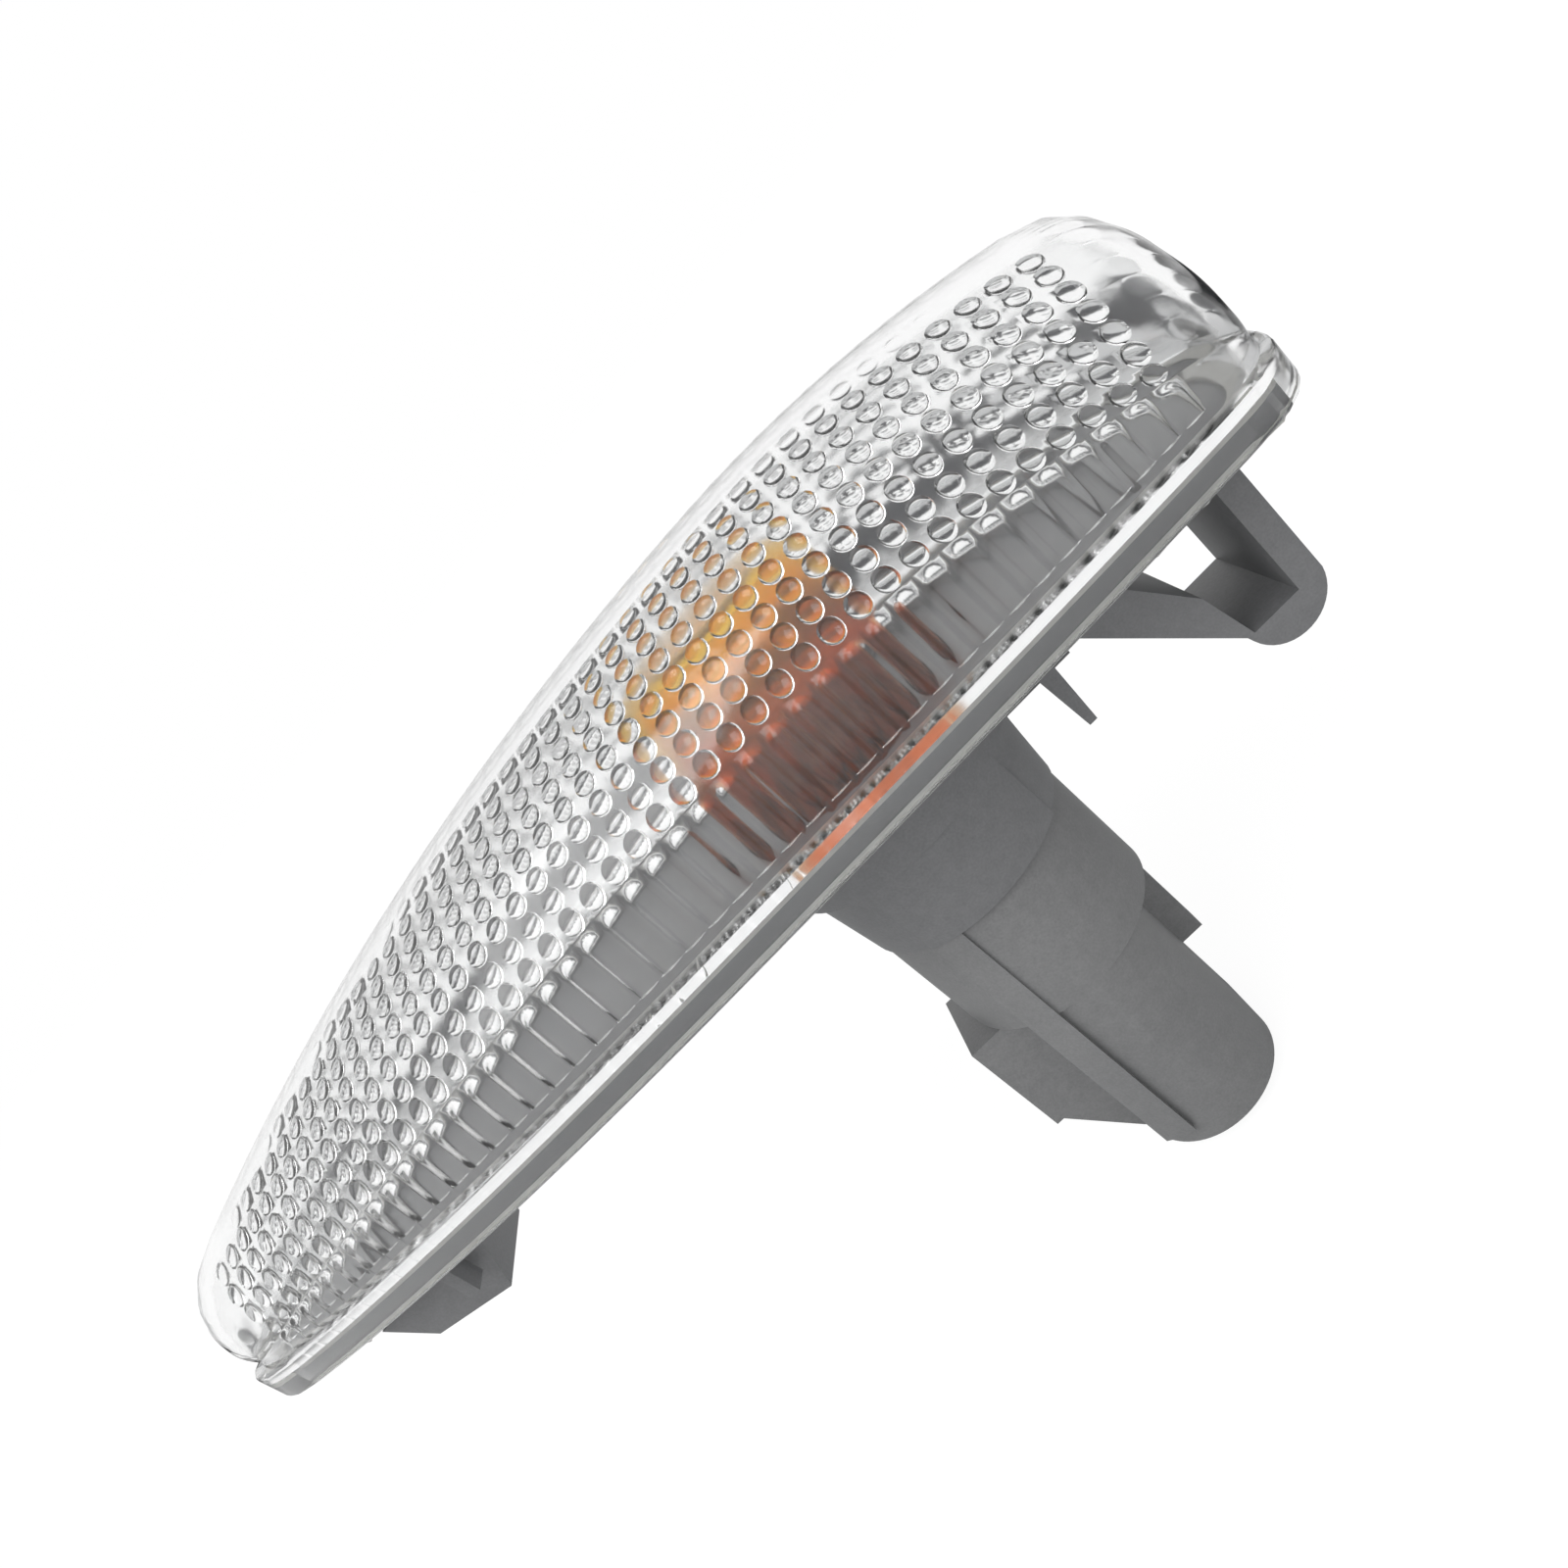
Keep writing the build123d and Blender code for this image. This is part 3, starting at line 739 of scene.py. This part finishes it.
def outward(loop):
    """The loop's outward directions in plan, one for each point."""
    count = len(loop)
    area = 0
    for before, after in zip(loop[-1:] + loop[:-1], loop):
        area += before.co.x * after.co.y - after.co.x * before.co.y
    turn = 1 if area > 0 else -1
    directions = []
    for step in range(count):
        tangent = Vector()
        reach = 0
        while tangent.length < least_chord * mm:
            reach += 1
            tangent = loop[(step + reach) % count].co - loop[step - reach].co
        directions.append(Vector((tangent.y, -tangent.x, 0)).normalized() * turn)
    return directions


directions = outward(outer_loop)
starts = []
for vert, direction in zip(outer_loop, directions):
    start = vert.co - direction * (ledge - end_ledge) * mm * direction.x**2
    start.z = (flange_height - drop(start.x / mm, seat_radius)) * mm
    starts.append(start)
for outset, rise in flange_profile:
    ring = [
        lens_shell.verts.new(start + direction * outset * mm + Vector((0, 0, rise * mm)))
        for start, direction in zip(starts, directions)
    ]
    join_loops(lens_shell, outer_loop, ring)
    outer_loop = ring
roof = Vector((0, 0, rebate_roof * mm))
inner_foot = [lens_shell.verts.new(vert.co - roof) for vert in inner_loop]
join_loops(lens_shell, inner_loop, inner_foot)
open_edges = [edge for edge in lens_shell.edges if edge.is_boundary]
bmesh.ops.bridge_loops(lens_shell, edges=open_edges)
bmesh.ops.recalc_face_normals(lens_shell, faces=lens_shell.faces)
lens_mesh = mesh_of(lens_shell, "clear_lens")
lens_mesh.attributes.remove(lens_mesh.attributes["cell"])
place_mesh("clear_lens", lens_mesh, acrylic, "clear_lens", "lens", crease=41)

# Sealant: a pale bead of hot glue laid in the rebate under the lens's flange. It squeezes out below
# the skirt here and there as a thin ragged flash.
sealant_pale, pen, shader = finish("sealant_pale", IOR=1.48, Transmission_Weight=0.35)
lumps = speckle(pen, 1.2 * mm, 4.0)
feed(pen, shader, Base_Color=lumps.mix((0.55, 0.55, 0.52, 1), (0.78, 0.78, 0.75, 1)))
feed(pen, shader, Roughness=0.3 + lumps * 0.3)
recoat(sealant_pale, "lens_sealant")

coarse_lumps = 900
fine_lumps = 2300
flash_from = 36 * mm
flash_grows = 8 * mm
least_hang = 0.10
most_hang = 0.75
flash = bmesh.new()
flash_rings = []
for start, direction in zip(starts, directions):
    ragged = noise.noise(start * coarse_lumps) + 0.6 * noise.noise(start * fine_lumps)
    zone = min(1, max(0, (abs(start.x) - flash_from) / flash_grows))
    hang = least_hang + most_hang * zone * max(0, 0.25 + ragged)
    corner = start + direction * (ledge - skirt_width) * mm
    corner -= Vector((0, 0, flange_height * mm))
    ring = []
    for out, up in ((-0.08, 0.25), (0.04, 0.02), (0.55, -0.02), (0.42, -hang), (0.05, -0.9 * hang)):
        ring.append(flash.verts.new(corner + (direction * out + Vector((0, 0, up))) * mm))
    flash_rings.append(ring)
for ring, following in zip(flash_rings, flash_rings[1:] + flash_rings[:1]):
    join_loops(flash, ring, following)
bmesh.ops.recalc_face_normals(flash, faces=flash.faces)
flash_mesh = mesh_of(flash, "sealant_flash")
place_mesh("sealant_flash", flash_mesh, sealant_pale, "sealant", crease=50)

# Stage: a plain pale floor under the lamp, a white surround, one broad soft light, and the camera
# at the photograph's viewing angle. The camera sees the floor pale all over, but gloss and glass
# see painted shade on it: a grey sheet round the lamp, a dark band behind the lamp, and white
# past that.
scene = bpy.context.scene
scene.view_settings.view_transform = "Standard"


def ray_kinds(pen):
    """If a ray comes straight from the camera, and if it comes by way of gloss or glass."""
    kinds = ("Is Camera Ray", "Is Glossy Ray", "Is Transmission Ray")
    straight, glossy, through = pen.node("ShaderNodeLightPath", out=kinds)
    return straight, (glossy + through).clamp()


world = bpy.data.worlds.new("white_surround")
scene.world = world
world.use_nodes = True
world.node_tree.nodes.clear()
pen = Wire(world.node_tree)
straight, in_glass = ray_kinds(pen)
soft = pen.node("ShaderNodeBackground", {}, {"Color": (1, 1, 1, 1), "Strength": 0.62})
white = pen.node("ShaderNodeBackground", {}, {"Color": (1, 1, 1, 1), "Strength": 1.0})
seen = (straight + in_glass).clamp()
surround = pen.node("ShaderNodeMixShader", {}, {0: seen, 1: soft, 2: white})
pen.node("ShaderNodeOutputWorld", {}, {"Surface": surround})

painted_grey_sheet_edge, painted_grey_sheet_blur = 0.185, 0.02
painted_dark_band_edge, painted_dark_band_blur = 0.32, 0.04
behind_edge, behind_blur = 0.06, 0.05
glow_share = 0.86
floor_paint = bpy.data.materials.new("pale_floor")
floor_paint.use_nodes = True
floor_paint.node_tree.nodes.clear()
pen = Wire(floor_paint.node_tree)
straight, in_glass = ray_kinds(pen)
x, y, _ = pen.node("ShaderNodeTexCoord", out="Object").split()
reach = (x * x + y * y) ** 0.5
past_painted_grey_sheet = ((reach - painted_grey_sheet_edge) / painted_grey_sheet_blur).clamp()
past_painted_dark_band = ((reach - painted_dark_band_edge) / painted_dark_band_blur).clamp()
behind = ((y - behind_edge) / behind_blur).clamp()
# Painted shade, seen only by gloss and glass: the grey sheet round the lamp and the dark band behind it
sheet = in_glass * (1 - past_painted_grey_sheet)
border = in_glass * past_painted_grey_sheet * (1 - past_painted_dark_band) * behind
colour = sheet.mix((0.86, 0.86, 0.86, 1), (0.62, 0.625, 0.63, 1))
colour = border.mix(colour, (0.045, 0.047, 0.052, 1))
paint = pen.node("ShaderNodeBsdfDiffuse", {}, {"Color": colour})
glow = pen.node("ShaderNodeEmission", {}, {"Color": (1, 1, 1, 1), "Strength": 1.08})
glowing = (straight + in_glass * past_painted_dark_band) * glow_share
paint = pen.node("ShaderNodeMixShader", {}, {0: glowing, 1: paint, 2: glow})
pen.node("ShaderNodeOutputMaterial", {}, {"Surface": paint})

floor_shape = bmesh.new()
bmesh.ops.create_grid(floor_shape, x_segments=2, y_segments=2, size=3.0)
floor_mesh = mesh_of(floor_shape, "floor")
floor_mesh.transform(Matrix.Translation((0, 0, cad_box[0][2] - 0.5 * mm)))
floor_mesh.materials.append(floor_paint)
floor = bpy.data.objects.new("floor", floor_mesh)
scene.collection.objects.link(floor)
floor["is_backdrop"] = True

softbox = bpy.data.lights.new("key_light", "AREA")
softbox.size = 0.6
softbox.energy = 4.0
key_light = bpy.data.objects.new("key_light", softbox)
key_light.location = (-0.30, -0.45, 0.62)
key_light.rotation_euler = (-key_light.location).to_track_quat("-Z", "Y").to_euler()
scene.collection.objects.link(key_light)

# The picture is turned about the line of sight, so that the lamp lies along its diagonal
azimuth = math.radians(10.58)
elevation = math.radians(19.68)
roll = math.radians(5.77)
diagonal = math.atan2(0.6984, 0.7157)
turn = roll + diagonal
level = math.cos(elevation)
back = Vector((math.sin(azimuth) * level, -math.cos(azimuth) * level, math.sin(elevation)))
level_right = (-back).cross(Vector((0, 0, 1))).normalized()
level_down = (-back).cross(level_right)
right = level_right * math.cos(turn) + level_down * math.sin(turn)
down = level_down * math.cos(turn) - level_right * math.sin(turn)
camera_data = bpy.data.cameras.new("camera")
camera_data.sensor_width = 36.0
camera_data.lens = 27.0
camera_data.clip_start = 1 * mm
camera = bpy.data.objects.new("camera", camera_data)
axes = Matrix((right, -down, back)).transposed().to_4x4()
camera.matrix_world = Matrix.Translation((27.4 * mm, -91.4 * mm, 34.0 * mm)) @ axes
scene.collection.objects.link(camera)
scene.camera = camera

sizes = {"cad": [list(corner) for corner in cad_box], "visual": [list(corner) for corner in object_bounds()]}
